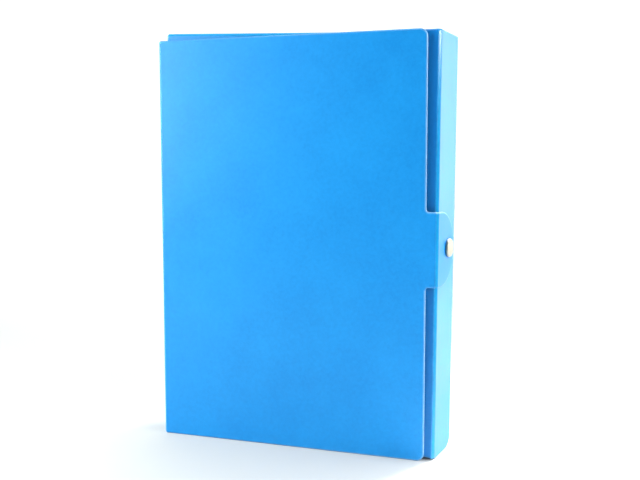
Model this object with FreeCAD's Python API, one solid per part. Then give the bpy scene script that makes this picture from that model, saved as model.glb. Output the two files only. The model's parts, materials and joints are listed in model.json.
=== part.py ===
import FreeCAD, Part
import math
import os

# Archival document box: one creased board blank folded into a shallow case, closed by a
# tongue that wraps round the fore-edge wall and snaps onto a press stud.
# +Z up, -Y is the cover side, -X the spine, +X the fore edge. The origin is the centre of
# the bottom wall's underside, on which the box stands. Millimetres.

V = FreeCAD.Vector
OUT = "parts"

# ---- driving dimensions --------------------------------------------------------------
BOARD = 1.5            # board thickness
WIDTH = 247.2          # front, from the spine's outer face to the fore-edge wall's
HEIGHT = 354.0         # walls and cover, bottom to top
WALL_DEPTH = 50.7      # spine and fore-edge wall, front to back along the board
RACK = math.radians(12.4)   # the section leans: the back sits to the right of the front
R_IN = 1.2             # inside radius of a crease
JOINT_GAP = 0.15       # a panel's end stands back this far from its crease line

COVER_EDGE_TOP = 238.6     # free edge of the cover, from the spine's outer corner
COVER_EDGE_BOTTOM = 240.8
COVER_CORNER_R = 6.5
LIP_GAP = 3.9          # air between the cover and the fore-edge lip behind it
LIP_STACK_GAP = 0.4    # air between the fore-edge lip and the top and bottom lips

TONGUE_Z0, TONGUE_Z1 = 146.2, 208.1
TONGUE_ROOT_R = 2.5    # inside corners where the tongue leaves the cover
TONGUE_R_IN = 1.2      # the tongue bends round the corner
TONGUE_STANDOFF = 0.7  # air between the tongue and the wall, filled by the stud's flanges
TONGUE_LENGTH = 37.5   # flat part behind the bend
TONGUE_END_R = 29.5

FORE_LIP_LENGTH = 60.0
FORE_LIP_STRAIGHT = 16.0   # its ends run square as far as the cover hides them, then taper
TOP_LIP_DEPTH = 42.0
LIP_STRAIGHT = 7.0     # the lips' ends run square for this far, then taper
TOP_RISE_LEFT = 7.8    # the top flap's front crease springs up at its spine end
TOP_RISE_RIGHT = -1.6
TOP_LEFT_FRONT, TOP_LEFT_BACK = 6.4, 13.6
TOP_RIGHT_FRONT, TOP_RIGHT_BACK = 246.4, 253.0
CORNER_CUT_R = 11.0    # rounded lower back corner of the fore-edge wall and the back

STUD_Z = 177.3
STUD_ALONG = 23.6      # from the tongue's bend centre, along the tongue
CAP_R, CAP_SIDE, CAP_CROWN = 7.75, 1.7, 2.7
SHANK_R, SHANK_BORE_R = 3.15, 2.65
SOCKET_R, SOCKET_T = 6.2, 0.3
WIRE_R = 0.22
MALE_FLANGE_R, MALE_FLANGE_T = 5.2, 0.3
MALE_NECK_R, MALE_HEAD_R = 1.85, 2.1
POST_R, POST_FLANGE_R, POST_FLANGE_T = 1.45, 4.8, 0.5

# ---- derived -------------------------------------------------------------------------
R_OUT = R_IN + BOARD
S, C = math.sin(RACK), math.cos(RACK)
DEPTH = WALL_DEPTH * C
LIP_Y = BOARD + LIP_GAP                      # fore-edge lip's outer face
TOP_LIP_Y = LIP_Y + BOARD + LIP_STACK_GAP    # top and bottom lips' outer face
TONGUE_R_OUT = TONGUE_R_IN + BOARD


def spine_x(y, inside):
    """x of the plane that lies `inside` millimetres inside the spine's outer face, at y."""
    return (inside + S * y) / C


def fore_x(y, inside):
    """x of the plane that lies `inside` millimetres inside the fore-edge wall's outer face, at y."""
    return WIDTH + (S * y - inside) / C


# crease centres, as (x, y) in plan
Y_BACK = DEPTH - R_OUT
C_COVER = (spine_x(R_OUT, R_OUT), R_OUT)
C_SPINE = (spine_x(Y_BACK, R_OUT), Y_BACK)
C_FORE = (fore_x(Y_BACK, R_OUT), Y_BACK)
C_FLIP = (fore_x(LIP_Y + R_OUT, R_OUT), LIP_Y + R_OUT)
Y_TONGUE = BOARD + TONGUE_R_IN
C_TONGUE = (fore_x(Y_TONGUE, TONGUE_R_IN - TONGUE_STANDOFF), Y_TONGUE)
Y_TLIP = TOP_LIP_Y + R_OUT                   # top and bottom lip creases
Z_TOP, Z_BOT = HEIGHT - R_OUT, R_OUT

# the origin is the middle of the bottom wall's underside
ORIGIN = V((C_SPINE[0] + C_FORE[0]) / 2 - 2.0, (Y_BACK + Y_TLIP) / 2, 0)


def rounded_face(points, radii):
    """A flat face in the XY plane with its corners rounded, outer or inner."""
    pts = [V(p[0], p[1], 0) for p in points]
    n = len(pts)
    cut = []
    for i, p in enumerate(pts):
        a = (pts[i - 1] - p).normalize()
        b = (pts[(i + 1) % n] - p).normalize()
        r = radii[i]
        if r <= 0:
            cut.append((p, p, None))
            continue
        half = math.acos(max(-1, min(1, a.dot(b)))) / 2
        d = r / math.tan(half)
        mid_dir = (a + b).normalize()
        centre = p + mid_dir * (r / math.sin(half))
        cut.append((p + a * d, p + b * d, centre - mid_dir * r))
    edges = []
    for i in range(n):
        start, stop, mid = cut[i]
        if mid is not None:
            edges.append(Part.Arc(start, mid, stop).toShape())
        nxt = cut[(i + 1) % n][0]
        if (nxt - stop).Length > 1e-6:
            edges.append(Part.LineSegment(stop, nxt).toShape())
    return Part.Face(Part.Wire(edges))


def placed(shape, origin, e, v, n):
    """Local X, Y, Z of a shape laid along e, v, n at origin."""
    m = FreeCAD.Matrix(e[0], v[0], n[0], origin[0],
                       e[1], v[1], n[1], origin[1],
                       e[2], v[2], n[2], origin[2],
                       0, 0, 0, 1)
    out = shape.copy()
    out.transformShape(m, True)
    return out


def panel(points, radii, origin, e, v, n, r_in=R_IN, thick=BOARD):
    """A board panel: outline along e and v from a crease centre, its inner face r_in out along n."""
    body = rounded_face(points, radii).extrude(V(0, 0, thick))
    body.translate(V(0, 0, r_in))
    return placed(body, origin, e, v, n)


def crease(origin, e, n, axis, length, angle, r_in=R_IN, thick=BOARD):
    """The bent strip of board at a fold: a ring sector round the crease centre line."""
    o, e, n, axis = V(*origin), V(*e), V(*n), V(*axis)

    def at(r, a):
        return o + n * (r * math.cos(a)) + e * (r * math.sin(a))

    r_out = r_in + thick
    wire = Part.Wire([
        Part.Arc(at(r_out, 0), at(r_out, angle / 2), at(r_out, angle)).toShape(),
        Part.LineSegment(at(r_out, angle), at(r_in, angle)).toShape(),
        Part.Arc(at(r_in, angle), at(r_in, angle / 2), at(r_in, 0)).toShape(),
        Part.LineSegment(at(r_in, 0), at(r_out, 0)).toShape(),
    ])
    return Part.Face(wire).extrude(axis * length)


def revolved(profile, at, n, e):
    """A solid of revolution about n through at; profile is (radius, height) pairs, closed."""
    pts = [V(r, 0, h) for r, h in profile]
    face = Part.Face(Part.makePolygon(pts + [pts[0]]))
    solid = face.revolve(V(0, 0, 0), V(0, 0, 1), 360)
    side = V(*n).cross(V(*e))
    return placed(solid, at, e, side, n)


def hole(radius, at, n, h0, h1):
    return Part.makeCylinder(radius, h1 - h0, V(*at) + V(*n) * h0, V(*n))


parts = {}

# ---- back and walls --------------------------------------------------------------------
UP = (0, 0, 1)
E_SPINE, N_SPINE = (-S, -C, 0), (-C, S, 0)     # from the back towards the front
E_FORE, N_FORE = (-S, -C, 0), (C, -S, 0)
E_TONGUE, N_TONGUE = (S, C, 0), (C, -S, 0)
A_SPINE = math.pi / 2 - RACK     # folded angle back to spine, cover to tongue, wall to lip
A_COVER = math.pi / 2 + RACK     # spine to cover, back to fore-edge wall

g = JOINT_GAP
x0, x1 = C_SPINE[0] + g, C_FORE[0] - g
z0, z1 = Z_BOT + g, Z_TOP - g
parts["back_panel"] = panel(
    [(x0, z0), (x1, z0), (x1, z1), (x0, z1)],
    [0, CORNER_CUT_R, 0, 0], (0, Y_BACK, 0), (1, 0, 0), UP, (0, 1, 0))

spine_run = (Y_BACK - R_OUT) / C
parts["spine_panel"] = panel(
    [(g, 0), (spine_run - g, 0), (spine_run - g, HEIGHT), (g, HEIGHT)],
    [0] * 4, (*C_SPINE, 0), E_SPINE, UP, N_SPINE)

fore_run = (Y_BACK - C_FLIP[1]) / C
stud_at = V(*C_TONGUE, STUD_Z) + V(*E_TONGUE) * STUD_ALONG    # on the stud's axis
wall = panel(
    [(g, 0), (fore_run - g, 0), (fore_run - g, HEIGHT), (g, HEIGHT)],
    [CORNER_CUT_R, 0, 0, 0], (*C_FORE, 0), E_FORE, UP, N_FORE)
wall = wall.cut(hole(POST_R + 0.05, stud_at, N_FORE, -2, 8))
parts["fore_edge_wall"] = wall

parts["fore_edge_lip"] = panel(
    [(g, 0), (FORE_LIP_STRAIGHT, 0), (FORE_LIP_LENGTH, 26.0),
     (FORE_LIP_LENGTH, HEIGHT - 26.0), (FORE_LIP_STRAIGHT, HEIGHT), (g, HEIGHT)],
    [0, 6.0, 8.0, 8.0, 6.0, 0], (*C_FLIP, 0), (-1, 0, 0), UP, (0, -1, 0))

# ---- cover and tongue --------------------------------------------------------------------
cx = C_COVER[0]


def edge_x(z):
    return COVER_EDGE_BOTTOM + (COVER_EDGE_TOP - COVER_EDGE_BOTTOM) * z / HEIGHT


root_x = C_TONGUE[0] - g
parts["front_cover"] = panel(
    [(g, 0), (edge_x(0) - cx, 0), (edge_x(TONGUE_Z0) - cx, TONGUE_Z0),
     (root_x - cx, TONGUE_Z0), (root_x - cx, TONGUE_Z1),
     (edge_x(TONGUE_Z1) - cx, TONGUE_Z1), (edge_x(HEIGHT) - cx, HEIGHT), (g, HEIGHT)],
    [0, COVER_CORNER_R, TONGUE_ROOT_R, 0, 0, TONGUE_ROOT_R, COVER_CORNER_R, 0],
    (*C_COVER, 0), (1, 0, 0), UP, (0, -1, 0))

tongue = panel(
    [(g, TONGUE_Z0), (TONGUE_LENGTH, TONGUE_Z0), (TONGUE_LENGTH, TONGUE_Z1), (g, TONGUE_Z1)],
    [0, TONGUE_END_R, TONGUE_END_R, 0], (*C_TONGUE, 0), E_TONGUE, UP, N_TONGUE,
    r_in=TONGUE_R_IN)
tongue = tongue.cut(hole(SHANK_R + 0.05, stud_at, N_TONGUE, TONGUE_R_IN - 1, 4))
parts["closing_tongue"] = tongue

# ---- bottom flap ---------------------------------------------------------------------------
bottom_right_back = x1 - CORNER_CUT_R
y_run0, y_run1 = 0.0, Y_BACK - Y_TLIP
parts["bottom_wall"] = panel(
    [(TOP_LEFT_BACK, g), (bottom_right_back, g), (TOP_RIGHT_FRONT, 16.0),
     (TOP_RIGHT_FRONT, y_run1 - g), (TOP_LEFT_FRONT, y_run1 - g)],
    [0, 0, 8.0, 0, 0], (0, Y_BACK, Z_BOT), (1, 0, 0), (0, -1, 0), (0, 0, -1))


def lip_outline(left, right, depth, straight):
    taper = (depth - straight) * 1.35
    return [(left, g), (right, g), (right, straight), (right - taper, depth),
            (left + taper, depth), (left, straight)]


parts["bottom_lip"] = panel(
    lip_outline(TOP_LEFT_FRONT, TOP_RIGHT_FRONT, TOP_LIP_DEPTH, LIP_STRAIGHT),
    [0, 0, 3.0, 10.0, 10.0, 3.0], (0, Y_TLIP, Z_BOT), (1, 0, 0), UP, (0, -1, 0))

# ---- top flap: the wall is a ruled sheet from its level back crease to its sloping front one
def top_front_z(x):
    k = (x - TOP_LEFT_FRONT) / (TOP_RIGHT_FRONT - TOP_LEFT_FRONT)
    return Z_TOP + TOP_RISE_LEFT + (TOP_RISE_RIGHT - TOP_RISE_LEFT) * k


def top_section(xb, xf):
    yb, yf = Y_BACK - g, Y_TLIP + g
    zb, zf = Z_TOP, top_front_z(xf)
    return Part.makePolygon([
        V(xb, yb, zb + R_IN), V(xf, yf, zf + R_IN), V(xf, yf, zf + R_OUT),
        V(xb, yb, zb + R_OUT), V(xb, yb, zb + R_IN)])


parts["top_wall"] = Part.makeLoft(
    [top_section(TOP_LEFT_BACK, TOP_LEFT_FRONT), top_section(TOP_RIGHT_BACK, TOP_RIGHT_FRONT)],
    True, True)

slope = math.atan2(TOP_RISE_RIGHT - TOP_RISE_LEFT, TOP_RIGHT_FRONT - TOP_LEFT_FRONT)
E_TOPX = (math.cos(slope), 0, math.sin(slope))      # along the sloping front crease
N_TOP = (-math.sin(slope), 0, math.cos(slope))
top_left = (TOP_LEFT_FRONT, Y_TLIP, top_front_z(TOP_LEFT_FRONT))
top_run = (TOP_RIGHT_FRONT - TOP_LEFT_FRONT) / math.cos(slope)
DOWN = (math.sin(slope), 0, -math.cos(slope))
parts["top_lip"] = panel(
    lip_outline(0, top_run, TOP_LIP_DEPTH, LIP_STRAIGHT),
    [0, 0, 3.0, 10.0, 10.0, 3.0], top_left, E_TOPX, DOWN, (0, -1, 0))

# ---- creases -------------------------------------------------------------------------------
z_cut = CORNER_CUT_R
parts["crease_back_spine"] = crease((*C_SPINE, 0), (-1, 0, 0), (0, 1, 0), UP, HEIGHT, A_SPINE)
parts["crease_spine_cover"] = crease((*C_COVER, 0), E_SPINE, N_SPINE, UP, HEIGHT, A_COVER)
parts["crease_cover_tongue"] = crease(
    (*C_TONGUE, TONGUE_Z0), (1, 0, 0), (0, -1, 0), UP, TONGUE_Z1 - TONGUE_Z0, A_SPINE,
    r_in=TONGUE_R_IN)
parts["crease_back_fore_edge"] = crease(
    (*C_FORE, z_cut), (1, 0, 0), (0, 1, 0), UP, HEIGHT - z_cut, A_COVER)
parts["crease_fore_edge_lip"] = crease((*C_FLIP, 0), E_FORE, N_FORE, UP, HEIGHT, A_SPINE)
parts["crease_back_top"] = crease(
    (TOP_LEFT_BACK, Y_BACK, Z_TOP), (0, 0, 1), (0, 1, 0), (1, 0, 0),
    TOP_RIGHT_BACK - TOP_LEFT_BACK, math.pi / 2)
parts["crease_top_lip"] = crease(
    top_left, (0, -1, 0), N_TOP, E_TOPX, top_run, math.pi / 2)
parts["crease_back_bottom"] = crease(
    (TOP_LEFT_BACK, Y_BACK, Z_BOT), (0, 0, -1), (0, 1, 0), (1, 0, 0),
    bottom_right_back - TOP_LEFT_BACK, math.pi / 2)
parts["crease_bottom_lip"] = crease(
    (TOP_LEFT_FRONT, Y_TLIP, Z_BOT), (0, -1, 0), (0, 0, -1), (1, 0, 0),
    TOP_RIGHT_FRONT - TOP_LEFT_FRONT, math.pi / 2)

# ---- press stud, on an axis square to the wall; heights from the bend centre ------------------
hi = TONGUE_R_IN                  # tongue's inner face
ho = TONGUE_R_OUT                 # tongue's outer face
hw = TONGUE_R_IN - TONGUE_STANDOFF    # wall's outer face
hv = hw - BOARD                   # wall's inner face

crown = [(0.0, ho + CAP_CROWN)]
steps = 8
for i in range(1, steps + 1):     # low dome
    r = (CAP_R - 1.1) * i / steps
    crown.append((r, ho + CAP_CROWN - 0.55 * (r / (CAP_R - 1.1)) ** 2))
rim_h = crown[-1][1]
for i in range(1, 6):             # rolled shoulder
    a = math.pi / 2 * i / 5
    crown.append((CAP_R - 1.1 + 1.1 * math.sin(a), rim_h - 1.1 + 1.1 * math.cos(a)))
cap = crown + [(CAP_R, ho + 0.05), (CAP_R - 0.45, ho + 0.05),
               (CAP_R - 0.45, rim_h - 0.9), (SHANK_R, ho + CAP_CROWN - 1.1),
               (SHANK_R, hi - SOCKET_T), (SHANK_BORE_R, hi - SOCKET_T),
               (SHANK_BORE_R, ho + CAP_CROWN - 0.8), (0.0, ho + CAP_CROWN - 0.8)]
parts["stud_cap"] = revolved(cap, stud_at, N_TONGUE, E_TONGUE)

parts["stud_socket"] = revolved(
    [(SHANK_R, hi - SOCKET_T), (SOCKET_R - 0.2, hi - SOCKET_T), (SOCKET_R, hi - SOCKET_T + 0.2),
     (SOCKET_R, hi), (SHANK_R, hi)],
    stud_at, N_TONGUE, E_TONGUE)

ring = Part.makeTorus(SHANK_BORE_R - WIRE_R - 0.01, WIRE_R, V(0, 0, 0), V(0, 0, 1), -180, 180, 320)
ring.translate(V(0, 0, hi + 0.1))
parts["stud_spring"] = placed(ring, stud_at, E_TONGUE,
                              tuple(V(*N_TONGUE).cross(V(*E_TONGUE))), N_TONGUE)

male_top = hi + 1.5
parts["stud_male"] = revolved(
    [(POST_R + 0.02, hw), (MALE_FLANGE_R, hw), (MALE_FLANGE_R, hw + 0.2),
     (MALE_FLANGE_R - 0.3, hw + MALE_FLANGE_T), (MALE_NECK_R + 0.4, hw + MALE_FLANGE_T),
     (MALE_NECK_R, hw + MALE_FLANGE_T + 0.4), (MALE_NECK_R, hi + 0.35),
     (MALE_HEAD_R, hi + 0.6), (MALE_HEAD_R, male_top - 0.6), (MALE_HEAD_R - 0.25, male_top - 0.2),
     (MALE_HEAD_R - 0.8, male_top), (0.0, male_top), (0.0, male_top - 0.35),
     (POST_R + 0.02, male_top - 0.35)],
    stud_at, N_FORE, E_FORE)

parts["stud_post"] = revolved(
    [(0.0, hv - POST_FLANGE_T), (POST_FLANGE_R - 0.2, hv - POST_FLANGE_T),
     (POST_FLANGE_R, hv - POST_FLANGE_T + 0.2), (POST_FLANGE_R, hv), (POST_R, hv),
     (POST_R, male_top - 0.5), (0.0, male_top - 0.5)],
    stud_at, N_FORE, E_FORE)

# ---- write -----------------------------------------------------------------------------------
os.makedirs(OUT, exist_ok=True)
for name, shape in parts.items():
    solids = shape.Solids
    shape = solids[0] if len(solids) == 1 else Part.makeCompound(solids)
    shape.translate(V(-ORIGIN.x, -ORIGIN.y, -ORIGIN.z))
    shape.exportStep(os.path.join(OUT, name + ".step"))
    print(name, len(solids), shape.isValid(), round(shape.Volume, 1),
          [round(v, 2) for v in (shape.BoundBox.XMin, shape.BoundBox.YMin, shape.BoundBox.ZMin,
                                 shape.BoundBox.XMax, shape.BoundBox.YMax, shape.BoundBox.ZMax)])
print("origin", ORIGIN)
for label, c in (("cover", C_COVER), ("spine", C_SPINE), ("fore", C_FORE),
                 ("fore lip", C_FLIP), ("tongue", C_TONGUE)):
    print("crease", label, round(c[0] - ORIGIN.x, 4), round(c[1] - ORIGIN.y, 4))
print("y back", round(Y_BACK - ORIGIN.y, 4), "y lips", round(Y_TLIP - ORIGIN.y, 4),
      "z top", Z_TOP, "z bottom", Z_BOT, "slope deg", round(math.degrees(slope), 4),
      "top left", [round(a - b, 4) for a, b in zip(top_left, (ORIGIN.x, ORIGIN.y, 0))])
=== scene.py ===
import json
import math

import bmesh
import bpy
from mathutils import Matrix, Vector, noise


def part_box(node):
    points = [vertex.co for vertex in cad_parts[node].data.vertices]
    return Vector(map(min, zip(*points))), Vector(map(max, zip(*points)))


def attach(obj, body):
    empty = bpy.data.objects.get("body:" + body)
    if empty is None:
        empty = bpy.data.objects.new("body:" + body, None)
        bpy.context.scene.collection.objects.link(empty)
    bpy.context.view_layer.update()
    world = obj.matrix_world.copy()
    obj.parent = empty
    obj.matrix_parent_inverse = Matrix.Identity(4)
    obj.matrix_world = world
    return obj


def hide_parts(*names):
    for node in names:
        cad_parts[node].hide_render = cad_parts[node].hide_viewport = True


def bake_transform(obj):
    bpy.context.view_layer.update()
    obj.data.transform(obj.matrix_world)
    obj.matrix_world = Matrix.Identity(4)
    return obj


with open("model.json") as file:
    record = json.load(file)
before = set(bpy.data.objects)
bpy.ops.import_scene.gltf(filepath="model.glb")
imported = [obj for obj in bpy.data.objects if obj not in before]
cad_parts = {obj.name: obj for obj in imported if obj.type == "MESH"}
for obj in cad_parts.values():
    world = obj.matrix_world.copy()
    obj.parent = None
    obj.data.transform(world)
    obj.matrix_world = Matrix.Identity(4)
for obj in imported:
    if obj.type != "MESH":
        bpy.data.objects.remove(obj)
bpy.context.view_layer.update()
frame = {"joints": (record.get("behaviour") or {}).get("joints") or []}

MM = 0.001
JOINT = {j["name"]: j for j in frame["joints"]}


def at(name):
    """A crease's centre point, in millimetres in the row frame."""
    return Vector(JOINT[name]["pos_m"]) * 1000


# ------------------------------------------------------------------ sizes, in millimetres
BOARD = 1.5
R_IN = 1.2
R_OUT = R_IN + BOARD
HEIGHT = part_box("spine_panel")[1].z * 1000
RACK = math.radians(90 - JOINT["spine_fold"]["range_deg"][1])
S, C = math.sin(RACK), math.cos(RACK)
FLAT = 1.0          # a crease strip runs this far onto the panels beside it

P_COVER, P_SPINE, P_FORE = at("cover_open"), at("spine_fold"), at("fore_edge_open")
P_FLIP, P_TONGUE = at("fore_edge_lip_open"), at("tongue_lift")
P_TOP, P_TLIP = at("top_open"), at("top_lip_open")
P_BOT, P_BLIP = at("bottom_open"), at("bottom_lip_open")
LEFT = P_COVER.x - (R_OUT + S * R_OUT) / C      # the spine's outer front corner
COVER_Y = P_COVER.y - R_OUT                     # the cover's outer face
TONGUE_R_IN = 1.2
TONGUE_R_OUT = TONGUE_R_IN + BOARD
TZ0, TZ1 = (v.z * 1000 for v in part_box("closing_tongue"))
TONGUE_LENGTH, TONGUE_END_R = 37.5, 29.5
STUD_Z = P_TONGUE.z
STUD_ALONG = 23.6
EDGE_TOP, EDGE_BOTTOM = 238.6, 240.8            # cover's free edge, from LEFT
TLF, TLB, TRF, TRB = 6.4, 13.6, 246.4, 253.0    # ends of the top flap, from LEFT
CUT_R = 11.0
LIP_DEPTH, LIP_STRAIGHT = 42.0, 7.0
RISE_L, RISE_R = 7.8, -1.6

X, Y, Z = Vector((1, 0, 0)), Vector((0, 1, 0)), Vector((0, 0, 1))
E_SPINE, N_SPINE = Vector((-S, -C, 0)), Vector((-C, S, 0))
E_FORE, N_FORE = Vector((-S, -C, 0)), Vector((C, -S, 0))
E_TONGUE, N_TONGUE = Vector((S, C, 0)), Vector((C, -S, 0))
A_NARROW, A_WIDE = math.pi / 2 - RACK, math.pi / 2 + RACK


# ------------------------------------------------------------------ materials
def principled(name):
    m = bpy.data.materials.new(name)
    m.use_nodes = True
    nt = m.node_tree
    return m, nt, nt.nodes["Principled BSDF"]


def node(nt, kind, x=0, y=0, **values):
    n = nt.nodes.new(kind)
    n.location = (x, y)
    for k, v in values.items():
        setattr(n, k, v)
    return n


def noise_tex(nt, coord, scale, detail=3.0, rough=0.5, stretch=None):
    if stretch:
        mp = node(nt, "ShaderNodeMapping")
        mp.inputs["Scale"].default_value = stretch
        nt.links.new(coord, mp.inputs["Vector"])
        coord = mp.outputs["Vector"]
    t = node(nt, "ShaderNodeTexNoise")
    t.inputs["Scale"].default_value = scale
    t.inputs["Detail"].default_value = detail
    t.inputs["Roughness"].default_value = rough
    nt.links.new(coord, t.inputs["Vector"])
    return t.outputs["Fac"]


def ramp(nt, fac, stops):
    r = node(nt, "ShaderNodeValToRGB")
    while len(r.color_ramp.elements) < len(stops):
        r.color_ramp.elements.new(0.5)
    for e, (p, c) in zip(r.color_ramp.elements, stops):
        e.position = p
        e.color = (c, c, c, 1) if isinstance(c, (int, float)) else (*c, 1)
    nt.links.new(fac, r.inputs["Fac"])
    return r.outputs["Color"]


def maths(nt, op, a, b=None, clamp=False):
    m = node(nt, "ShaderNodeMath", operation=op, use_clamp=clamp)
    for i, v in enumerate((a, b)):
        if v is None:
            continue
        if isinstance(v, (int, float)):
            m.inputs[i].default_value = v
        else:
            nt.links.new(v, m.inputs[i])
    return m.outputs[0]


def mix_colour(nt, fac, a, b, blend="MIX"):
    m = node(nt, "ShaderNodeMix", data_type="RGBA", blend_type=blend)
    for key, v in (("Factor", fac), ("A", a), ("B", b)):
        sock = [s for s in m.inputs if s.name == key and (s.type == "RGBA" or key == "Factor" and s.type == "VALUE")][0]
        if isinstance(v, (int, float)):
            sock.default_value = v
        elif isinstance(v, tuple):
            sock.default_value = (*v, 1)
        else:
            nt.links.new(v, sock)
    return [s for s in m.outputs if s.type == "RGBA"][0]


def attribute(nt, name):
    a = node(nt, "ShaderNodeAttribute")
    a.attribute_name = name
    return a.outputs["Fac"]


def bump(nt, bsdf, layers):
    """Bump layers as (height socket, distance in metres, strength), deepest first."""
    last = None
    for height, distance, strength in layers:
        b = node(nt, "ShaderNodeBump")
        b.inputs["Distance"].default_value = distance
        b.inputs["Strength"].default_value = strength
        nt.links.new(height, b.inputs["Height"])
        if last is not None:
            nt.links.new(last, b.inputs["Normal"])
        last = b.outputs["Normal"]
    nt.links.new(last, bsdf.inputs["Normal"])


BLUE = (0.004, 0.241, 0.635)
BLUE_DEEP = (0.002, 0.202, 0.566)
# pale rim colour: rubbed film plus a painted highlight
BLUE_STRESS_AND_HIGHLIGHT = (0.300, 0.580, 0.840)
# crease colour: rubbed film plus a painted highlight
BLUE_FOLD = (0.018, 0.410, 0.660)
# painted shade colour, mixed in by the tone attribute
BLUE_PAINTED_SHADE = (0.001, 0.170, 0.640)
CORE = (0.66, 0.78, 0.86)


def laminate(name="blue_laminate", specular=0.30, coat=0.09):
    """Blue film laminated on board: fine grain of the paper below, faint orange peel, rubbed edges and creases that
    also carry painted highlights, and painted shade where tone is set.
    """
    m, nt, b = principled(name)
    co = node(nt, "ShaderNodeTexCoord").outputs["Object"]
    cloud = noise_tex(nt, co, 22.0, 2.0)
    grain = noise_tex(nt, co, 1500.0, 3.0, 0.6)
    fibre = noise_tex(nt, co, 330.0, 4.0, 0.7)
    peel = noise_tex(nt, co, 420.0, 1.0)
    shade = maths(nt, "ADD", maths(nt, "MULTIPLY", cloud, 0.40), maths(nt, "MULTIPLY", fibre, 0.60))
    base = mix_colour(nt, ramp(nt, shade, [(0.36, 0.0), (0.64, 1.0)]), BLUE_DEEP, BLUE)
    # painted shade: where tone is set, on the recessed fore-edge lip and the tongue, the film darkens towards a deeper
    # blue
    base = mix_colour(nt, attribute(nt, "tone"), base, BLUE_PAINTED_SHADE)
    # rims and creases go paler in streaks: partly rubbed film, partly a painted highlight where rolled rims and folds
    # catch the light; here and there the board shows
    edge = attribute(nt, "edge")
    fold = attribute(nt, "fold")
    streak = noise_tex(nt, co, 900.0, 3.0, 0.6, stretch=(1, 1, 0.22))
    streak_mask = ramp(nt, streak, [(0.30, 0.55), (0.62, 1.0)])
    # the bend's outside goes a lighter blue along the fold mask: rubbed film plus a painted highlight where the fold
    # catches the light
    base = mix_colour(nt, maths(nt, "MULTIPLY", maths(nt, "MULTIPLY", fold, 0.5), streak_mask), base, BLUE_FOLD)
    # painted highlight with rub: the rims pale towards a light blue along the edge mask
    base = mix_colour(nt, maths(nt, "MULTIPLY", maths(nt, "MULTIPLY", edge, 0.95), streak_mask), base, BLUE_STRESS_AND_HIGHLIGHT)
    chips = noise_tex(nt, co, 330.0, 4.0, 0.7)
    chip = maths(nt, "MULTIPLY", ramp(nt, edge, [(0.70, 0.0), (0.92, 1.0)]), ramp(nt, chips, [(0.60, 0.0), (0.66, 1.0)]))
    base = mix_colour(nt, chip, base, CORE)
    # a burr of torn paper along part of an edge
    torn = noise_tex(nt, co, 210.0, 3.0, 0.6)
    base = mix_colour(nt, maths(nt, "MULTIPLY", attribute(nt, "burr"), ramp(nt, torn, [(0.44, 0.0), (0.54, 0.9)])), base, (0.82, 0.88, 0.90))
    nt.links.new(base, b.inputs["Base Color"])
    rough = maths(nt, "ADD", 0.33, maths(nt, "MULTIPLY", ramp(nt, fibre, [(0.35, 0.0), (0.7, 1.0)]), 0.06))
    rough = maths(nt, "ADD", maths(nt, "SUBTRACT", rough, maths(nt, "MULTIPLY", fold, 0.18)), maths(nt, "MULTIPLY", chip, 0.4))
    nt.links.new(rough, b.inputs["Roughness"])
    b.inputs["Specular IOR Level"].default_value = specular
    b.inputs["Coat Weight"].default_value = coat
    b.inputs["Coat Roughness"].default_value = 0.20
    bump(nt, b, [(peel, 0.00008, 0.24), (grain, 0.00002, 0.32), (streak, 0.00002, 0.05)])
    return m


def core():
    """Cut edge of the board: pale fibre in thin layers."""
    m, nt, b = principled("board_core")
    co = node(nt, "ShaderNodeTexCoord").outputs["Object"]
    layers = noise_tex(nt, co, 1400.0, 3.0, 0.6)
    speck = noise_tex(nt, co, 5200.0, 2.0)
    mixed = maths(nt, "ADD", maths(nt, "MULTIPLY", layers, 0.6), maths(nt, "MULTIPLY", speck, 0.4))
    nt.links.new(ramp(nt, mixed, [(0.35, (0.56, 0.62, 0.66)), (0.62, (0.80, 0.83, 0.84))]), b.inputs["Base Color"])
    b.inputs["Roughness"].default_value = 0.9
    bump(nt, b, [(mixed, 0.0002, 0.5)])
    return m


def lining():
    """Uncoated grey-blue paper on the inside, with loose fibres."""
    m, nt, b = principled("inner_paper")
    co = node(nt, "ShaderNodeTexCoord").outputs["Object"]
    cloud = noise_tex(nt, co, 35.0, 3.0)
    fibre = noise_tex(nt, co, 700.0, 5.0, 0.7, stretch=(0.35, 1, 1))
    speck = noise_tex(nt, co, 2600.0, 2.0, 0.5)
    tone = maths(nt, "ADD", maths(nt, "MULTIPLY", cloud, 0.12), maths(nt, "MULTIPLY", fibre, 0.88))
    base = ramp(nt, tone, [(0.34, (0.20, 0.24, 0.28)), (0.66, (0.25, 0.29, 0.33))])
    base = mix_colour(nt, ramp(nt, speck, [(0.64, 0.0), (0.74, 0.5)]), base, (0.44, 0.48, 0.52))
    nt.links.new(base, b.inputs["Base Color"])
    b.inputs["Roughness"].default_value = 0.82
    bump(nt, b, [(fibre, 0.0001, 0.45)])
    return m


def metal(name, tint, low, high, scale):
    m, nt, b = principled(name)
    co = node(nt, "ShaderNodeTexCoord").outputs["Object"]
    haze = noise_tex(nt, co, scale, 4.0, 0.6)
    fine = noise_tex(nt, co, scale * 9, 2.0)
    dark = tuple(v * 0.86 for v in tint)
    nt.links.new(mix_colour(nt, ramp(nt, haze, [(0.35, 0.0), (0.65, 1.0)]), dark, tint), b.inputs["Base Color"])
    nt.links.new(maths(nt, "ADD", low, maths(nt, "MULTIPLY", ramp(nt, haze, [(0.3, 0.0), (0.7, 1.0)]), high - low)), b.inputs["Roughness"])
    b.inputs["Metallic"].default_value = 1.0
    bump(nt, b, [(fine, 0.00002, 0.25)])
    return m


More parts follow.
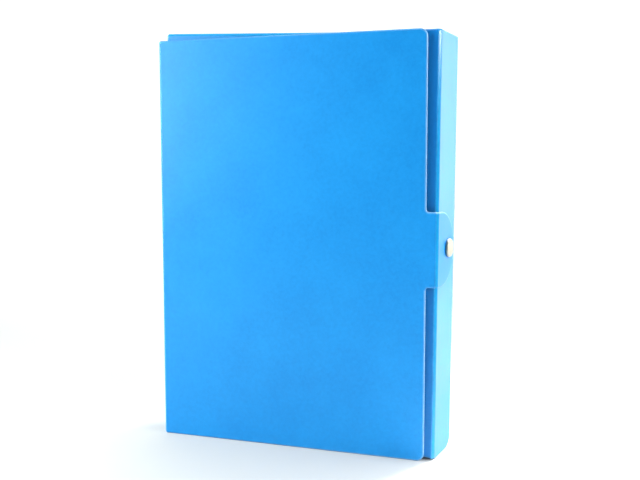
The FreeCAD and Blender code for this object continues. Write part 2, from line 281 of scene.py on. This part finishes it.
LAM, CORE_M, LIN = laminate(), core(), lining()
LAM_TONGUE = laminate("blue_laminate_handled", 0.16, 0.03)      # dulled by handling
NICKEL = metal("stud_nickel", (0.36, 0.35, 0.275), 0.32, 0.40, 900.0)
STEEL = metal("spring_steel", (0.62, 0.62, 0.63), 0.25, 0.38, 1500.0)

# ------------------------------------------------------------------ board panels
ROLL_X, ROLL_Z = 1.70, 0.95      # the die rolls the outer edge over
# the board's edge from its inner face up to its outer one: (inset, height, edge paling: rub plus painted highlight)
RIM = [(0.16, 0.0, 0.0), (0.05, 0.05, 0.0), (0.0, 0.20, 0.0), (0.0, BOARD - ROLL_Z - 0.08, 0.6)]
for k in range(0, 7):
    a = math.pi / 2 * k / 6
    RIM.append((ROLL_X * (1 - math.cos(a)), BOARD - ROLL_Z + ROLL_Z * math.sin(a), 1.0 - k / 6))
CORE_RINGS = 3                   # faces below this ring are cut board


def rounded(points, radii, cut):
    """Outline with its corners rounded: [(point, 1 if the side after it is a cut edge, 0 if it is a crease)]."""
    n, out = len(points), []
    pts = [Vector(p) for p in points]
    for i, p in enumerate(pts):
        r = radii[i]
        if r <= 0:
            out.append((p.copy(), cut[i]))
            continue
        a, b = (pts[i - 1] - p).normalized(), (pts[(i + 1) % n] - p).normalized()
        half = math.acos(max(-1, min(1, a.dot(b)))) / 2
        d = r / math.tan(half)
        centre = p + (a + b).normalized() * (r / math.sin(half))
        v0, v1 = p + a * d - centre, p + b * d - centre
        sweep = v0.angle_signed(v1)
        steps = max(6, int(abs(sweep) * r / 0.8))
        base = math.atan2(v0.y, v0.x)
        turn = math.pi - 2 * half
        sign = 1 if (v0.x * v1.y - v0.y * v1.x) > 0 else -1
        for k in range(steps + 1):
            t = base + sign * turn * k / steps
            out.append((centre + Vector((math.cos(t), math.sin(t))) * r, 1 if k < steps else cut[i]))
    return out


def inset(loop, d):
    """The outline moved inwards by d along its cut sides; crease sides stay."""
    n, out = len(loop), []
    for i in range(n):
        p, f1 = loop[i]
        q, f0 = loop[i - 1]
        nxt = loop[(i + 1) % n][0]
        t0, t1 = (p - q).normalized(), (nxt - p).normalized()
        n0, n1 = Vector((-t0.y, t0.x)), Vector((-t1.y, t1.x))
        det = n0.x * n1.y - n0.y * n1.x
        if abs(det) < 1e-3:
            out.append(p + n0 * d * max(f0, f1))
            continue
        r0, r1 = d * f0, d * f1
        out.append(p + Vector(((r0 * n1.y - r1 * n0.y) / det, (n0.x * r1 - n1.x * r0) / det)))
    return out


def finish_mesh(name, bm, mats, body=None, smooth=math.radians(38), weighted=True):
    bmesh.ops.recalc_face_normals(bm, faces=bm.faces)
    me = bpy.data.meshes.new(name)
    bm.to_mesh(me)
    bm.free()
    for m in mats:
        me.materials.append(m)
    me.shade_smooth()
    me.set_sharp_from_angle(angle=smooth)
    ob = bpy.data.objects.new(name, me)
    bpy.context.scene.collection.objects.link(ob)
    if weighted:
        w = ob.modifiers.new("even_normals", "WEIGHTED_NORMAL")
        w.keep_sharp = True
        w.weight = 60
    if body:
        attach(ob, body)
    return ob


def board(name, points, radii, cut, place, body, step=12.0, lines_u=(), lines_v=(), warp=None, nodes=None, rub_and_highlight_at=None, burr_at=None, tone=0.0, film=None):
    """One board panel. The outline is in the panel's own u, v; place(u, v, h) gives the row point at height h over its inner face."""
    loop = rounded(points, radii, cut)
    bm = bmesh.new()
    edge = bm.verts.layers.float.new("edge")
    bm.verts.layers.float.new("fold")
    burr = bm.verts.layers.float.new("burr")
    rings = []
    for d, h, rub_and_highlight in RIM:
        ring = []
        for p in inset(loop, d):
            v = bm.verts.new((p.x, p.y, h))
            # edge paling, part rub and part painted highlight, scaled along the outline by the panel's own function
            v[edge] = rub_and_highlight * (rub_and_highlight_at(p.x, p.y) if rub_and_highlight_at else 1.0)
            v[burr] = burr_at(p.x, p.y) * (1.0 if rub_and_highlight > 0.3 else 0.0) if burr_at else 0.0
            ring.append(v)
        rings.append(ring)
    # crease ends carry no rub or painted highlight
    n = len(loop)
    for i in range(n):
        if loop[i][1] == 0 or loop[i - 1][1] == 0:
            for ring, (d, h, rub_and_highlight) in zip(rings, RIM):
                if loop[i][1] == 0 and loop[i - 1][1] == 0:
                    ring[i][edge] = 0.0
    for k in range(len(rings) - 1):
        for i in range(n):
            j = (i + 1) % n
            quad = [rings[k][i], rings[k][j], rings[k + 1][j], rings[k + 1][i]]
            try:
                f = bm.faces.new(quad)
            except ValueError:
                continue
            f.material_index = 2 if k < CORE_RINGS or loop[i][1] == 0 else 0
    f = bm.faces.new(rings[-1])
    f.material_index = 0
    f = bm.faces.new(list(reversed(rings[0])))
    f.material_index = 1
    lo = Vector((min(p.x for p, _ in loop), min(p.y for p, _ in loop)))
    hi = Vector((max(p.x for p, _ in loop), max(p.y for p, _ in loop)))
    for axis, extra in ((0, lines_u), (1, lines_v)):
        count = max(1, int(round((hi[axis] - lo[axis]) / step)))
        spots = sorted(set([round(lo[axis] + (hi[axis] - lo[axis]) * k / count, 3) for k in range(1, count)] + list(extra)))
        for s in spots:
            co, no = Vector((0, 0, 0)), Vector((0, 0, 0))
            co[axis], no[axis] = s, 1.0
            bmesh.ops.bisect_plane(bm, geom=bm.verts[:] + bm.edges[:] + bm.faces[:], dist=1e-5, plane_co=co, plane_no=no)
    bmesh.ops.dissolve_degenerate(bm, dist=1e-4, edges=bm.edges[:])
    # tone is painted shade for parts that lie in shadow or turn from the light
    shade = bm.verts.layers.float.new("tone")
    for v in bm.verts:
        u, w, h = v.co
        v[shade] = tone
        if warp:
            h = h + warp(u, w)
        v.co = place(u, w, h) * MM
    ob = finish_mesh(name, bm, [film or LAM, LIN, CORE_M], body)
    for nd in nodes or [name.replace("board_", "")]:
        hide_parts(nd)
    return ob


def flat_place(origin, e, v, n, r_in=R_IN):
    return lambda a, b, h: origin + e * a + v * b + n * (r_in + h)


def bell(t):
    """0 at 0 and 1, flat there, 1 in the middle."""
    t = max(0.0, min(1.0, t))
    return (4 * t * (1 - t)) ** 1.5


def wave(u, v, seed, size):
    return noise.noise(Vector((u / size + seed, v / size - seed, seed * 1.7)))


def ease(t):
    t = max(0.0, min(1.0, t))
    return t * t * (3 - 2 * t)


ground = lambda p: Vector((p.x, p.y, 0))

# --- back
ox = Vector((LEFT, P_TOP.y, 0))
bx0, bx1 = P_SPINE.x - LEFT + FLAT, P_FORE.x - LEFT - FLAT
bz0, bz1 = P_BOT.z + FLAT, P_TOP.z - FLAT


def back_warp(u, v):
    return -0.30 * bell((u - bx0) / (bx1 - bx0)) * bell((v - bz0) / (bz1 - bz0)) * (0.6 + 0.4 * wave(u, v, 3.1, 70))



def corner_points(x, z, r, x_flat, z_flat, steps=14):
    """A quarter round from (x - r, z) to (x, z + r), cut off at the crease strips' ends."""
    pts = []
    for k in range(steps + 1):
        a = -math.pi / 2 + math.pi / 2 * k / steps
        pts.append((x - r + r * math.cos(a), z + r + r * math.sin(a)))
    return [(min(px, x_flat), max(pz, z_flat)) for px, pz in pts]


# the lower back corner is rounded, so the panel's outline there is a polyline of its own
cut_pts = []
for px, pz in corner_points(P_FORE.x - LEFT - 0.15, P_BOT.z + 0.15, CUT_R, bx1, bz0):
    if not cut_pts or (Vector((px, pz)) - Vector(cut_pts[-1])).length > 0.05:
        cut_pts.append((px, pz))
outline = [(bx0, bz0)] + cut_pts + [(bx1, bz1), (bx0, bz1)]
flags = [0] + [1] * (len(cut_pts) - 1) + [0, 0, 0]
board("board_back_panel", outline, [0] * len(outline), flags, flat_place(ox, X, Z, Y), "back", warp=back_warp)

# --- spine
run = (P_SPINE.y - P_COVER.y) / C


def spine_warp(u, v):
    return -0.35 * bell((u - FLAT) / (run - 2 * FLAT)) * (0.55 + 0.45 * wave(u, v, 1.3, 90))


board("board_spine_panel", [(FLAT, 0), (run - FLAT, 0), (run - FLAT, HEIGHT), (FLAT, HEIGHT)], [0] * 4, [1, 0, 1, 0],
      flat_place(ground(P_SPINE), E_SPINE, Z, N_SPINE), "spine", step=9.0, warp=spine_warp)

# --- fore-edge wall
fore_run = (P_FORE.y - P_FLIP.y) / C
fore_pts = []
for px, pz in corner_points(-0.15, 0.0, CUT_R, -FLAT, 0.0):
    if not fore_pts or (Vector((px, pz)) - Vector(fore_pts[-1])).length > 0.05:
        fore_pts.append((px, pz))
# u runs from the back crease towards the front, so the outline is drawn with u mirrored
fo = [(-(fore_run - FLAT), 0)] + fore_pts + [(-FLAT, HEIGHT), (-(fore_run - FLAT), HEIGHT)]
ff = [1] + [1] * (len(fore_pts) - 1) + [0, 1, 0]


def fore_warp(u, v):
    s = (-u - FLAT) / (fore_run - 2 * FLAT)
    return -0.30 * bell(s) * (0.6 + 0.4 * wave(u, v, 5.2, 80))


board("board_fore_edge_wall", fo, [0] * len(fo), ff,
      lambda a, b, h: ground(P_FORE) + E_FORE * (-a) + Z * b + N_FORE * (R_IN + h), "fore_edge", step=8.0, warp=fore_warp)

# --- fore-edge lip, u mirrored so that it runs to the left of its crease
FLL, FLS = 60.0, 16.0
LIP_LIFT = 1.5       # the lip is cut short, so that it clears the table
# tone=0.5 is painted shade: the lip lies deep in shadow behind the cover's edge
board("board_fore_edge_lip", [(-FLL, 26.0), (-FLS, LIP_LIFT), (-FLAT, LIP_LIFT), (-FLAT, HEIGHT), (-FLS, HEIGHT), (-FLL, HEIGHT - 26.0)],
      [8.0, 6.0, 0, 0, 6.0, 8.0], [1, 1, 0, 1, 1, 1],
      lambda a, b, h: ground(P_FLIP) + X * a + Z * b - Y * (R_IN + h), "fore_edge_flap", step=10.0, tone=0.5)

# --- cover with the tongue's root
cx = P_COVER.x - LEFT
edge_x = lambda z: EDGE_BOTTOM + (EDGE_TOP - EDGE_BOTTOM) * z / HEIGHT
root = P_TONGUE.x - LEFT - FLAT
cover_pts = [(FLAT, 0), (edge_x(0) - cx, 0), (edge_x(TZ0) - cx, TZ0), (root - cx, TZ0), (root - cx, TZ1),
             (edge_x(TZ1) - cx, TZ1), (edge_x(HEIGHT) - cx, HEIGHT), (FLAT, HEIGHT)]
cover_w = edge_x(HEIGHT / 2) - cx


def cover_warp(u, v):
    s = (u - FLAT) / (cover_w - FLAT)
    z = v / HEIGHT
    side = ease(s / 0.25) * ease((1.04 - s) / 0.3)
    return -0.55 * side * (0.35 + 0.65 * bell(z)) * (0.75 + 0.25 * wave(u, v, 7.7, 110)) - 0.12 * side * (0.5 + 0.5 * wave(u, v, 2.4, 38))


# the cover's rim paling, painted highlight with some rub, is full only along the free edge that faces the light and low
# elsewhere, also at the tongue's lower root in shade
board("board_front_cover", cover_pts, [0, 6.5, 2.5, 0, 0, 2.5, 6.5, 0], [1, 1, 1, 0, 1, 1, 1, 0],
      flat_place(ground(P_COVER), X, Z, -Y), "cover", step=10.0, warp=cover_warp,
      lines_u=(round(edge_x(TZ0) - cx - 2.0, 3), round(edge_x(TZ0) - cx, 3)), lines_v=(TZ0, TZ1),
      rub_and_highlight_at=lambda u, v: 0.3 if u > cover_w - 4 and abs(v - TZ0) < 2.4 else 0.12 + 0.88 * ease((u - cover_w + 22) / 18),
      burr_at=lambda u, v: ease((u - 6) / 6) * ease((125 - u) / 25) if v > HEIGHT - 3 else 0.0)


# --- tongue, pressed in a little round the stud
def tongue_warp(u, v):
    d = math.hypot(u - STUD_ALONG, v - STUD_Z)
    return -0.28 * math.exp(-((d - 7.2) / 2.6) ** 2) if d > 7.2 else -0.28


# painted light on the tongue: its rim paling, painted highlight with some rub, is kept to the upper edge that faces the
# light, and tone=0.35 darkens its film as painted shade where it turns from the light
board("board_closing_tongue", [(FLAT, TZ0), (TONGUE_LENGTH, TZ0), (TONGUE_LENGTH, TZ1), (FLAT, TZ1)],
      [0, TONGUE_END_R, TONGUE_END_R, 0], [1, 1, 1, 0],
      flat_place(ground(P_TONGUE), E_TONGUE, Z, N_TONGUE, TONGUE_R_IN), "tongue", step=2.0, warp=tongue_warp,
      rub_and_highlight_at=lambda u, v: 0.10 + 0.90 * ease((v - STUD_Z - 8) / 12) * ease((26 - u) / 14), tone=0.35, film=LAM_TONGUE)

# --- bottom wall and its lip
y_run = P_BOT.y - P_BLIP.y
bo = Vector((LEFT, P_BOT.y, P_BOT.z))
bright = P_FORE.x - LEFT - 0.15 - CUT_R
# outline drawn with v from the front (0) to the back so that it runs anticlockwise seen from outside
board("board_bottom_wall", [(TLF, FLAT), (TRF, FLAT), (TRF, y_run - 16.0), (bright, y_run - FLAT), (bx0 + 0.15, y_run - FLAT), (bx0 + 0.15, y_run - P_BOT.z - 0.2)],
      [0, 0, 8.0, 0, 0, 0], [0, 1, 1, 0, 1, 1],
      lambda a, b, h: bo + X * a - Y * (y_run - b) - Z * (R_IN + h), "bottom", step=12.0)


def lip_outline(left, right, depth, straight):
    taper = (depth - straight) * 1.35
    return [(left, FLAT), (right, FLAT), (right, straight), (right - taper, depth), (left + taper, depth), (left, straight)]


board("board_bottom_lip", lip_outline(TLF, TRF, LIP_DEPTH, LIP_STRAIGHT), [0, 0, 3.0, 10.0, 10.0, 3.0], [0, 1, 1, 1, 1, 1],
      lambda a, b, h: Vector((LEFT + a, P_BLIP.y, P_BLIP.z + b)) - Y * (R_IN + h), "bottom_flap", step=14.0)

# --- top wall, twisted: its front crease slopes
top_run_y = P_TOP.y - P_TLIP.y


def rise(x):
    return RISE_L + (RISE_R - RISE_L) * (x - TLF) / (TRF - TLF)


def tilt(x):
    return math.atan2(rise(x), top_run_y)


def top_place(a, b, h):
    """a runs along the crease from LEFT, b from the back crease to the front, both along the tilted sheet."""
    t = tilt(a)
    s = b / top_run_y
    c = Vector((LEFT + a, P_TOP.y - top_run_y * s, P_TOP.z + rise(a) * s))
    return c + Vector((0, math.sin(t), math.cos(t))) * (R_IN + h)


# drawn mirrored in v (v = -b) so that it runs anticlockwise seen from above
board("board_top_wall", [(TLF, -(top_run_y - FLAT)), (TRF, -(top_run_y - FLAT)), (TRB, -FLAT), (bx0 + 0.15, -FLAT), (bx0 + 0.15, P_TOP.z - HEIGHT - 0.2)], [0] * 5, [0, 1, 0, 1, 1],
      lambda a, b, h: top_place(a, -b, h), "top", step=10.0)

slope = math.atan2(RISE_R - RISE_L, TRF - TLF)
E_TOPX = Vector((math.cos(slope), 0, math.sin(slope)))
N_TOP = Vector((-math.sin(slope), 0, math.cos(slope)))
top_len = (TRF - TLF) / math.cos(slope)
lip_pts = [(x, -y) for x, y in reversed(lip_outline(0, top_len, LIP_DEPTH, LIP_STRAIGHT))]
board("board_top_lip", lip_pts, [3.0, 10.0, 10.0, 3.0, 0, 0], [1, 1, 1, 1, 0, 1],
      lambda a, b, h: P_TLIP + E_TOPX * a + N_TOP * b - Y * (R_IN + h), "top_flap", step=14.0)


# ------------------------------------------------------------------ creases
def crease(name, origin, e, n, axis, v0, v1, angle, r_in=R_IN, arc=16, step=9.0, cut=(True, True), start=None, shift=None, nodes=(), crush=0.4, rub_and_highlight_ends=(0.35, 0.35)):
    """The bent strip of board between two panels, with a short flat on each. angle and start may change along the crease."""
    fn = lambda q: q if callable(q) else (lambda s: q)
    angle, start = fn(angle), fn(start if start is not None else 0.0)
    shift = shift or (lambda s: Vector((0, 0, 0)))
    r_out = r_in + BOARD
    stations = []
    for k in range(7):
        a = math.pi / 2 * k / 6
        stations.append((v0 + ROLL_X * (1 - math.cos(a)), ROLL_Z * (1 - math.sin(a)), (1 - k / 6) * rub_and_highlight_ends[0]))
    if not cut[0]:
        stations = [(v0, 0.0, 0.0)]
    count = max(1, int((v1 - v0) / step))
    stations += [(v0 + 3 + (v1 - v0 - 6) * k / count, 0.0, 0.0) for k in range(count + 1)]
    tail = []
    for k in range(7):
        a = math.pi / 2 * k / 6
        tail.append((v1 - ROLL_X * (1 - math.cos(a)), ROLL_Z * (1 - math.sin(a)), (1 - k / 6) * rub_and_highlight_ends[1]))
    stations += list(reversed(tail)) if cut[1] else [(v1, 0.0, 0.0)]
    bm = bmesh.new()
    edge = bm.verts.layers.float.new("edge")
    fold = bm.verts.layers.float.new("fold")
    weight = bm.verts.layers.float.new("bend_share")
    rows = []
    half = arc + 5          # outer points: 2 flat + arc + 1 + 2 flat
    for s, drop, rub_and_highlight in stations:
        al, st = angle(s), start(s)
        base = origin + axis * s + shift(s)
        outer, inner = [], []
        for k in range(-2, arc + 3):
            f = max(0.0, min(1.0, k / arc))
            ph = st + (al - st) * f
            rad = n * math.cos(ph) + e * math.sin(ph)
            tan = -n * math.sin(ph) + e * math.cos(ph)
            along = (k if k < 0 else k - arc if k > arc else 0) * FLAT / 2
            # the rule presses the outside of the bend towards a flat
            mid_a = (al - st) / 2
            reach = 1 - crush * (1 - math.cos(mid_a) / math.cos((al - st) * f - mid_a))
            outer.append((base + rad * (r_out * reach - drop) + tan * along, f))
            # the inside of a crease is squeezed into a low bead
            bead = 0.22 * math.sin(math.pi * f)
            inner.append((base + rad * (r_in - bead) + tan * along, f))
        row = []
        for group, w_fold in ((outer, 1.0), (list(reversed(inner)), 0.0)):
            for p, f in group:
                v = bm.verts.new(p * MM)
                # the cut ends of a crease pale as rub plus painted highlight
                v[edge] = rub_and_highlight if w_fold else 0.0
                v[fold] = math.sin(math.pi * f) * w_fold
                v[weight] = f
                row.append(v)
        rows.append(row)
    m = len(rows[0])
    for r in range(len(rows) - 1):
        for i in range(m):
            j = (i + 1) % m
            f = bm.faces.new([rows[r][i], rows[r][j], rows[r + 1][j], rows[r + 1][i]])
            f.material_index = 0 if i < half - 1 else (1 if half <= i < m - 1 else 2)
    for row in (list(reversed(rows[0])), rows[-1]):
        # end faces as quads between the outer and inner rows
        o, q = row[:half], row[half:]
        o, q = (rows[0][:half], rows[0][half:]) if row[0] not in rows[-1] else (rows[-1][:half], rows[-1][half:])
        q = list(reversed(q))
        for i in range(half - 1):
            f = bm.faces.new([o[i], o[i + 1], q[i + 1], q[i]])
            f.material_index = 2
    ob = finish_mesh(name, bm, [LAM, LIN, CORE_M], None, smooth=math.radians(50), weighted=False)
    a_mid, s_mid = angle((v0 + v1) / 2), start((v0 + v1) / 2)
    mid = origin + axis * ((v0 + v1) / 2) + shift((v0 + v1) / 2)
    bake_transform(ob)
    share = [0.0] * len(ob.data.vertices)
    ob.data.attributes["bend_share"].data.foreach_get("value", share)
    for nd in nodes or [name]:
        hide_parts(nd)
    return ob


crease("crease_back_spine", ground(P_SPINE), -X, Y, Z, 0, HEIGHT, A_NARROW, crush=0.6)
crease("crease_spine_cover", ground(P_COVER), E_SPINE, N_SPINE, Z, 0, HEIGHT, A_WIDE, crush=0.7)
# the tongue crease pales more at its upper, lit end than at its lower one: painted highlight
crease("crease_cover_tongue", ground(P_TONGUE), X, -Y, Z, TZ0, TZ1, A_NARROW, r_in=TONGUE_R_IN, arc=20, crush=0.8, rub_and_highlight_ends=(0.15, 0.7))
crease("crease_back_fore_edge", ground(P_FORE), X, Y, Z, CUT_R, HEIGHT, A_WIDE, crush=0.6)
crease("crease_fore_edge_lip", ground(P_FLIP), E_FORE, N_FORE, Z, 0.8, HEIGHT, A_NARROW, crush=0.8)
crease("crease_back_top", Vector((LEFT, P_TOP.y, P_TOP.z)), Z, Y, X, TLB, TRB,
       lambda s: math.pi / 2 - tilt(s))
crease("crease_top_lip", P_TLIP.copy(), -Y, N_TOP, E_TOPX, 0, top_len, math.pi / 2,
       start=lambda s: -tilt(TLF + s * math.cos(slope)))
crease("crease_back_bottom", Vector((LEFT, P_BOT.y, P_BOT.z)), -Z, Y, X, TLB, bright, math.pi / 2)
crease("crease_bottom_lip", Vector((LEFT, P_BLIP.y, P_BLIP.z)), -Y, -Z, X, TLF, TRF, math.pi / 2)


# ------------------------------------------------------------------ press stud
def lathe(name, profile, body, mat, node_name, segments=96, closed=True):
    """A turned piece on the stud's axis. Profile points are (radius, height over the tongue's bend centre)."""
    origin = ground(P_TONGUE) + E_TONGUE * STUD_ALONG + Z * STUD_Z
    side = N_TONGUE.cross(E_TONGUE)
    bm = bmesh.new()
    rings = []
    for r, h in profile:
        if r < 1e-6:
            rings.append([bm.verts.new((origin + N_TONGUE * h) * MM)])
            continue
        ring = []
        for k in range(segments):
            t = 2 * math.pi * k / segments
            ring.append(bm.verts.new((origin + N_TONGUE * h + (E_TONGUE * math.cos(t) + side * math.sin(t)) * r) * MM))
        rings.append(ring)
    pairs = list(zip(rings, rings[1:])) + ([(rings[-1], rings[0])] if closed else [])
    for a, b in pairs:
        for k in range(segments):
            j = (k + 1) % segments
            if len(a) == 1 and len(b) == 1:
                break
            if len(a) == 1:
                bm.faces.new([a[0], b[k], b[j]])
            elif len(b) == 1:
                bm.faces.new([a[k], b[0], a[j]])
            else:
                bm.faces.new([a[k], b[k], b[j], a[j]])
    ob = finish_mesh(name, bm, [mat], body, smooth=math.radians(32))
    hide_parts(node_name)
    return ob


def arc_points(cr, ch, rad_r, rad_h, a0, a1, steps):
    return [(cr + rad_r * math.cos(math.radians(a0 + (a1 - a0) * k / steps)),
             ch + rad_h * math.sin(math.radians(a0 + (a1 - a0) * k / steps))) for k in range(steps + 1)]


hi_, ho_ = TONGUE_R_IN, TONGUE_R_OUT
hw_ = hi_ - 0.7
top = ho_ + 2.7
cap = [(0.0, top - 0.06)]
cap += [(r, top - 0.06 + 0.0 * r) for r in (0.8,)]
for r in (1.8, 2.8, 3.8, 4.6, 5.2):
    cap.append((r, top - 0.06 - 0.010 * r * r))
# shallow ring near the rim, then the rolled shoulder
cap += [(5.55, top - 0.40), (5.85, top - 0.44), (6.15, top - 0.40), (6.4, top - 0.38)]
cap += [(6.55 + 1.2 * math.sin(math.radians(a)), top - 1.55 + 1.2 * math.cos(math.radians(a))) for a in range(10, 91, 10)]
cap += [(7.75, ho_ + 0.35), (7.68, ho_ + 0.12), (7.5, ho_ + 0.05), (7.3, ho_ + 0.08), (7.3, top - 1.5),
        (6.6, top - 0.95), (3.4, top - 1.0), (3.15, top - 1.3), (3.15, hi_ - 0.3), (2.65, hi_ - 0.3), (2.65, top - 0.85), (0.0, top - 0.82)]
lathe("stud_cap_turned", cap, "tongue", NICKEL, "stud_cap", closed=False)
lathe("stud_socket_turned",
      [(3.17, hi_ - 0.3), (5.95, hi_ - 0.3), (6.1, hi_ - 0.27), (6.18, hi_ - 0.2), (6.2, hi_ - 0.12), (6.2, hi_ - 0.02), (3.17, hi_ - 0.02)],
      "tongue", NICKEL, "stud_socket")
mt = hi_ + 1.5
male = [(1.47, hw_), (5.2, hw_), (5.2, hw_ + 0.12)]
male += arc_points(5.02, hw_ + 0.12, 0.18, 0.18, 0, 90, 5)[1:]
male += [(2.25, hw_ + 0.3)] + [(2.25 - 0.4 * math.sin(math.radians(a)), hw_ + 0.7 - 0.4 * math.cos(math.radians(a))) for a in (20, 40, 60, 80, 90)]
male += [(1.85, hi_ + 0.3), (1.92, hi_ + 0.45), (2.06, hi_ + 0.6), (2.1, hi_ + 0.75), (2.1, mt - 0.55)]
male += arc_points(1.55, mt - 0.55, 0.55, 0.55, 10, 90, 6)
male += [(0.0, mt), (0.0, mt - 0.35), (1.47, mt - 0.35)]
lathe("stud_male_turned", male, "fore_edge", NICKEL, "stud_male", segments=72)
hv_ = hw_ - BOARD
post = [(0.0, hv_ - 0.5), (4.3, hv_ - 0.5)] + [(4.3 + 0.5 * math.sin(math.radians(a)), hv_ - 0.0 - 0.5 * math.cos(math.radians(a))) for a in (20, 40, 60, 80)]
post += [(4.8, hv_ - 0.01), (1.45, hv_ - 0.01), (1.45, mt - 0.5), (0.0, mt - 0.5)]
lathe("stud_post_turned", post, "fore_edge", NICKEL, "stud_post", segments=72, closed=False)


def spring_ring():
    origin = ground(P_TONGUE) + E_TONGUE * STUD_ALONG + Z * STUD_Z + N_TONGUE * (hi_ + 0.1)
    side = N_TONGUE.cross(E_TONGUE)
    bm = bmesh.new()
    big, small, rows = 2.42, 0.22, []
    for k in range(65):
        t = math.radians(320 * k / 64)
        out = E_TONGUE * math.cos(t) + side * math.sin(t)
        rows.append([bm.verts.new((origin + out * (big + small * math.cos(a)) + N_TONGUE * small * math.sin(a)) * MM)
                     for a in [2 * math.pi * q / 14 for q in range(14)]])
    for a, b in zip(rows, rows[1:]):
        for q in range(14):
            bm.faces.new([a[q], b[q], b[(q + 1) % 14], a[(q + 1) % 14]])
    bm.faces.new(list(reversed(rows[0])))
    bm.faces.new(rows[-1])
    ob = finish_mesh("stud_spring_wire", bm, [STEEL], "tongue")
    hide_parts("stud_spring")


spring_ring()


# ------------------------------------------------------------------ floor, light, camera
def stage():
    me = bpy.data.meshes.new("floor")
    bm = bmesh.new()
    bm.faces.new([bm.verts.new(c) for c in ((-4.0, -3.0, 0), (3.0, -3.0, 0), (3.0, 1.7, 0), (-4.0, 1.7, 0))])
    bm.to_mesh(me)
    bm.free()
    floor = bpy.data.objects.new("floor", me)
    floor.location = (0, 0, -0.0002)
    bpy.context.scene.collection.objects.link(floor)
    m, nt, b = principled("white_sweep")
    b.inputs["Base Color"].default_value = (0.575, 0.59, 0.59, 1)
    b.inputs["Roughness"].default_value = 0.75
    b.inputs["Specular IOR Level"].default_value = 0.2
    # painted light: the sweep glows by emission behind the box, more with distance from it, standing in for light
    # falling on the far floor
    b.inputs["Emission Color"].default_value = (0.97, 1.0, 1.0, 1)
    sep = node(nt, "ShaderNodeSeparateXYZ")
    nt.links.new(node(nt, "ShaderNodeTexCoord").outputs["Object"], sep.inputs[0])
    far = node(nt, "ShaderNodeMapRange", interpolation_type="SMOOTHSTEP")
    for key, value in (("From Min", 0.05), ("From Max", 0.90), ("To Min", 0.0), ("To Max", 0.80)):
        far.inputs[key].default_value = value
    nt.links.new(sep.outputs["Y"], far.inputs["Value"])
    nt.links.new(far.outputs["Result"], b.inputs["Emission Strength"])
    me.materials.append(m)

    w = bpy.data.worlds.new("tent")
    bpy.context.scene.world = w
    w.use_nodes = True
    nt = w.node_tree
    bg = nt.nodes["Background"]
    co = node(nt, "ShaderNodeTexCoord").outputs["Generated"]
    # white tent, bright behind the box and dimmer where the photographer stands
    toward = node(nt, "ShaderNodeVectorMath", operation="DOT_PRODUCT")
    nt.links.new(co, toward.inputs[0])
    toward.inputs[1].default_value = Vector((0.10, 1.0, 0.15)).normalized()
    glow = node(nt, "ShaderNodeMapRange")
    glow.inputs["From Min"].default_value = -1.0
    nt.links.new(toward.outputs["Value"], glow.inputs["Value"])
    level = ramp(nt, glow.outputs["Result"], [(0.0, 0.11), (0.45, 0.15), (0.66, 0.55), (0.84, 1.10), (1.0, 1.25)])
    nt.links.new(level, bg.inputs["Strength"])
    bg.inputs["Color"].default_value = (1.0, 1.0, 1.0, 1)


def softbox(name, place, aim, size, power, colour=(1, 1, 1), spread=180):
    li = bpy.data.lights.new(name, "AREA")
    li.shape = "RECTANGLE"
    li.size, li.size_y = size
    li.energy = power
    li.color = colour
    li.spread = math.radians(spread)
    ob = bpy.data.objects.new(name, li)
    ob.location = place
    ob.rotation_mode = "QUATERNION"
    ob.rotation_quaternion = (Vector(aim) - Vector(place)).to_track_quat("-Z", "Y")
    bpy.context.scene.collection.objects.link(ob)
    return ob


stage()
softbox("softbox_left", (-0.75, -0.75, 0.55), (0.0, -0.03, 0.2), (0.6, 0.8), 6.9)
softbox("softbox_left_low", (-0.80, -0.42, 0.18), (-0.05, -0.03, 0.06), (0.5, 0.4), 3.4)
softbox("strip_left", (-0.62, -0.35, 0.50), (0.0, -0.03, 0.28), (0.35, 0.6), 6.5, (0.94, 1.0, 0.90))
softbox("softbox_right", (0.95, 0.35, 0.36), (0.12, 0, 0.08), (0.6, 0.9), 5.8)
softbox("softbox_right_high", (0.75, 0.0, 1.1), (0.12, 0, 0.17), (0.6, 0.6), 3.0)
softbox("softbox_right_back", (0.95, 1.25, 0.34), (0.12, 0, 0.10), (1.0, 0.7), 3.6)
softbox("pool_right", (0.27, 0.36, 0.95), (0.23, 0.13, 0), (0.22, 0.22), 3.8, spread=42)
softbox("pool_right_far", (0.50, 0.60, 0.95), (0.46, 0.53, 0), (0.25, 0.25), 3.2, spread=42)
softbox("strip_right_high", (1.05, -0.36, 0.57), (0.12, -0.02, 0.34), (0.34, 0.13), 6.5)
softbox("softbox_top", (0.1, 0.1, 1.6), (0.0, 0.1, 0), (1.6, 1.6), 1.7)
softbox("sweep_light", (-0.5, 1.1, 1.35), (-0.5, 1.1, 0), (4.2, 1.6), 9.0)

cam_data = bpy.data.cameras.new("camera")
cam = bpy.data.objects.new("camera", cam_data)
bpy.context.scene.collection.objects.link(cam)
yaw, pitch, roll = math.radians(-16.391), math.radians(-5.440), math.radians(0.174)
forward = Vector((math.sin(yaw) * math.cos(pitch), math.cos(yaw) * math.cos(pitch), math.sin(pitch)))
right = Vector((math.cos(yaw), -math.sin(yaw), 0))
up = right.cross(forward)
right, up = right * math.cos(roll) + up * math.sin(roll), up * math.cos(roll) - right * math.sin(roll)
# seen from 326.1 mm right of the spine's outer front corner and 597.6 mm in front of the cover
cam.matrix_world = Matrix.Translation(Vector((LEFT + 326.092, COVER_Y - 597.638, 242.238)) * MM) @ Matrix((right, up, -forward)).transposed().to_4x4()
cam_data.sensor_width = 36.0
cam_data.lens = 41.701
cam_data.clip_start, cam_data.clip_end = 0.01, 50
bpy.context.scene.camera = cam
bpy.context.scene.view_settings.view_transform = "Standard"
bpy.context.scene.view_settings.look = "None"
